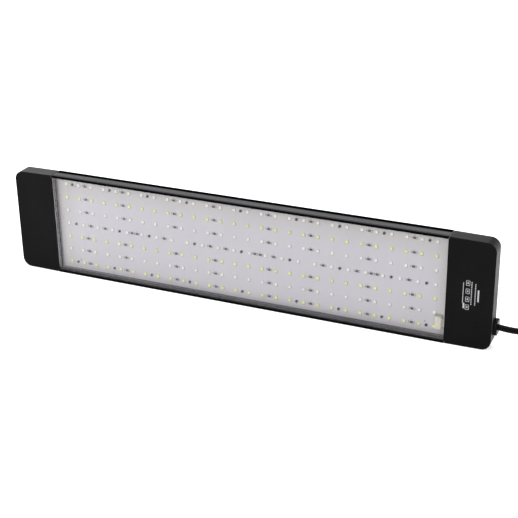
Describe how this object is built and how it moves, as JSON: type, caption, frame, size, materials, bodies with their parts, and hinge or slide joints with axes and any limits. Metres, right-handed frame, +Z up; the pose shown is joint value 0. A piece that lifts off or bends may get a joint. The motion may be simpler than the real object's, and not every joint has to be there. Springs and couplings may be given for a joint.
{
  "type": "led aquarium light",
  "caption": "Slim black LED aquarium light on its long edge: grooved aluminium profile, plastic end caps, clear cover over a white lamp board, and a folded mains lead.",
  "frame": {"origin": "middle of the long edge that the light stands on: half way along, half way through its thickness, without the lead", "axes": "+X along the light to the end with the lead, +Y from the lit face to the finned back, +Z up across its width"},
  "size_m": [0.887, 0.0587, 0.128],
  "materials": {
    "black_anodised": "black anodised, satin, with fine drawn ribs",
    "clear_acrylic": "clear polished sheet",
    "black_silicone": "soft black",
    "grey_silicone": "soft dark grey",
    "white_board": "white solder mask, slightly glossy",
    "grey_pad": "soft grey pad",
    "lamp_body": "white moulded package",
    "white_lens": "pale cream silicone",
    "yellow_lens": "yellow-green silicone",
    "chip_ceramic": "dark chip with bright ends",
    "board_screw": "dark plated steel",
    "cream_nylon": "cream nylon",
    "bright_steel": "plated steel",
    "white_pvc": "white wire insulation",
    "cap_plastic": "black moulded plastic, fine texture",
    "gasket_rubber": "grey translucent rubber",
    "black_screw": "black oxide steel",
    "driver_laminate": "tan laminate",
    "yellow_tape": "yellow winding tape",
    "ferrite": "dark grey ferrite",
    "capacitor_sleeve": "shrink sleeve",
    "copper_winding": "enamelled copper",
    "fuse_body": "brown moulded fuse",
    "chip_epoxy": "black epoxy",
    "green_terminal": "green terminal block",
    "gland_nylon": "black nylon",
    "cord_pvc": "black flexible sheath, semi-gloss",
    "core_pvc": "insulated core",
    "tie_nylon": "black hook and loop tie",
    "plug_plastic": "black moulded plug",
    "plug_metal": "nickel-plated brass"
  },
  "bodies": {
    "root": {"housing_profile": "black_anodised", "front_cover": "clear_acrylic", "cover_seals": "grey_silicone", "light_board": "white_board", "thermal_pad": "grey_pad", "white_lamps": "lamp_body", "white_lenses": "white_lens", "yellow_lamps": "lamp_body", "yellow_lenses": "yellow_lens", "chip_resistors": "chip_ceramic", "board_screws": "board_screw", "wafer_connector": "cream_nylon", "wafer_pins": "bright_steel", "wire_plug": "cream_nylon", "lamp_wires": "white_pvc", "left_cap_front": "cap_plastic", "left_cap_rear": "cap_plastic", "right_cap_front": "cap_plastic", "right_cap_rear": "cap_plastic", "left_gasket": "gasket_rubber", "right_gasket": "gasket_rubber", "left_port_screws": "bright_steel", "right_port_screws": "bright_steel", "left_cap_screws": "black_screw", "right_cap_screws": "black_screw", "driver_board": "driver_laminate", "driver_screws": "bright_steel", "transformer_coil": "yellow_tape", "transformer_core": "ferrite", "input_capacitor": "capacitor_sleeve", "output_capacitors": "capacitor_sleeve", "filter_choke": "copper_winding", "mains_fuse": "fuse_body", "bridge_rectifier": "chip_epoxy", "driver_chip": "chip_epoxy", "mains_terminal": "green_terminal", "output_terminal": "cream_nylon", "gland_body": "gland_nylon", "gland_cap": "gland_nylon", "gland_seal": "black_silicone", "inner_cord": "cord_pvc", "mains_cores": "core_pvc", "cord_clamp": "gland_nylon", "clamp_screws": "bright_steel", "power_cord": "cord_pvc", "cord_hank": "cord_pvc", "cord_tail": "cord_pvc", "cord_ties": "tie_nylon", "plug_relief": "cord_pvc", "plug_body": "plug_plastic", "plug_pins": "plug_metal"}
  },
  "joints": []
}
